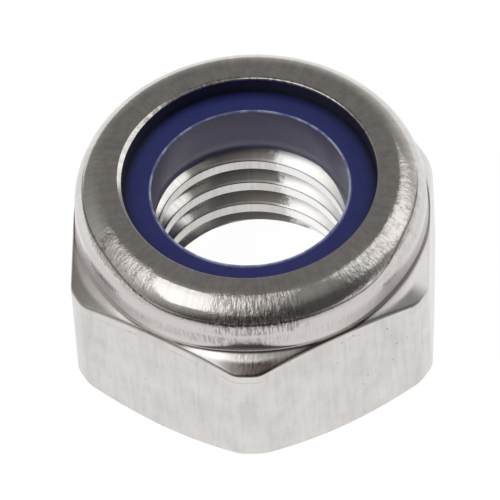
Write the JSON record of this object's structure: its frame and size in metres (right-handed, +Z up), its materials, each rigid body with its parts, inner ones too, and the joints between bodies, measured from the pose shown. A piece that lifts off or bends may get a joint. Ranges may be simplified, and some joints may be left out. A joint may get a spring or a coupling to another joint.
{
  "type": "lock nut",
  "caption": "Hexagon lock nut: a threaded steel nut with a nylon locking ring crimped into its round collar.",
  "frame": {"origin": "on the thread's axis, in the bearing face that the nut is tightened against", "axes": "+Z up the thread's axis, from the bearing face to the crimped collar; the hexagon's corners point along -Y and +Y, and two wrench flats face +X and -X"},
  "size_m": [0.013, 0.0146, 0.0078],
  "materials": {
    "steel": "satin",
    "nylon": "semi-gloss"
  },
  "bodies": {
    "root": {"nut_body": "steel", "nylon_ring": "nylon"}
  },
  "joints": []
}
